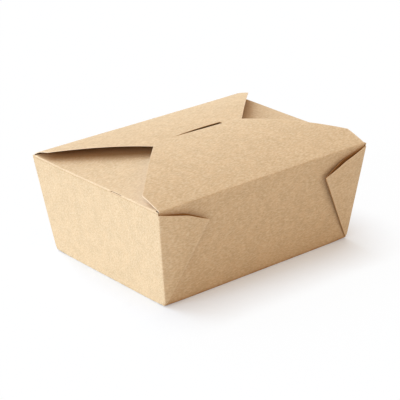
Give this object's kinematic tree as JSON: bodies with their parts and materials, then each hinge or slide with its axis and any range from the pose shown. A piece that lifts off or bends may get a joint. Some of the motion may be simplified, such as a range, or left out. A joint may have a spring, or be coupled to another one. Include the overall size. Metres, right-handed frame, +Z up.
{
  "type": "takeaway box",
  "caption": "Folded kraft board food box with flared walls, webbed corners laid on the long walls, and overlapping top flaps locked by a tongue in a slot.",
  "frame": {"origin": "centre of the base, on the surface that the box stands on", "axes": "+X along the length, +Y from the front flap's fold to the back flap's fold, +Z up"},
  "size_m": [0.1704, 0.1334, 0.0785],
  "materials": {
    "kraft_board": "matt unbleached kraft board"
  },
  "bodies": {
    "carton": {"carton": "kraft_board"},
    "front_flap": {"front_flap": "kraft_board"}
  },
  "joints": [
    {"name": "front_flap_fold", "type": "hinge", "parent": "carton", "child": "front_flap", "pos_m": [0, -0.064, 0.0665], "axis": [1, 0, 0], "range_deg": [0, 170]}
  ]
}
